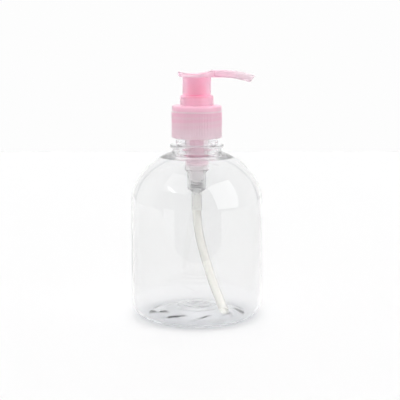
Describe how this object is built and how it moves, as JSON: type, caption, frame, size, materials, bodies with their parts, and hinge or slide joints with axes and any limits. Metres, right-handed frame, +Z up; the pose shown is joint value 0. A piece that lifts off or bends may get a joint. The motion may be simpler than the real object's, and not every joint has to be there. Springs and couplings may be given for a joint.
{
  "type": "pump oil bottle",
  "caption": "Clear round domed-shoulder bottle with a screw-on pink lotion pump: ribbed closure, lock-down head with curved spout, milky housing and a curved dip tube.",
  "frame": {"origin": "centre of the bottle's foot ring, on the surface it stands on", "axes": "+Z up along the bottle's axis, +X along the locked spout, +Y to the spout's left"},
  "size_m": [0.085, 0.085, 0.1598],
  "materials": {
    "clear_pet": "clear, gloss",
    "pink_closure": "translucent pink, satin",
    "gasket_foam": "matt white foam",
    "milky_pp": "translucent, natural",
    "ball_glass": "polished",
    "spring_steel": "bright wire",
    "tube_pe": "translucent, natural",
    "rod_pp": "natural white",
    "pink_piston": "translucent pink",
    "pink_stem": "translucent pink",
    "pink_collar": "translucent pink, gloss",
    "pink_head": "translucent pink, gloss"
  },
  "bodies": {
    "bottle": {"bottle": "clear_pet"},
    "pump": {"pump_housing": "milky_pp", "lock_collar": "pink_collar", "neck_gasket": "gasket_foam", "dip_tube": "tube_pe", "return_spring": "spring_steel"},
    "closure": {"closure": "pink_closure"},
    "inlet_ball": {"inlet_ball": "ball_glass"},
    "rod": {"piston_rod": "rod_pp"},
    "piston": {"piston": "pink_piston"},
    "head": {"pump_head": "pink_head", "stem": "pink_stem"}
  },
  "joints": [
    {"name": "pump_lift", "type": "slide", "parent": "bottle", "child": "pump", "axis": [0, 0, 1], "range_m": [0, 0.00635]},
    {"name": "closure_turn", "type": "hinge", "parent": "pump", "child": "closure", "pos_m": [0, 0, 0.127], "axis": [0, 0, 1], "range_deg": [0, 541]},
    {"name": "press_stroke", "type": "slide", "parent": "pump", "child": "rod", "axis": [0, 0, 1], "range_m": [0, 0.0125], "deforming": ["return_spring"]},
    {"name": "head_swivel", "type": "hinge", "parent": "rod", "child": "head", "pos_m": [0, 0, 0.15], "axis": [0, 0, 1], "continuous": true},
    {"name": "piston_float", "type": "slide", "parent": "rod", "child": "piston", "axis": [0, 0, 1], "range_m": [0, 0.0008]},
    {"name": "ball_lift", "type": "slide", "parent": "pump", "child": "inlet_ball", "axis": [0, 0, 1], "range_m": [0, 0.001]}
  ],
  "couplings": [
    {"joint": "closure_turn", "follows": "pump_lift", "rad_per_m": 1484.2}
  ]
}
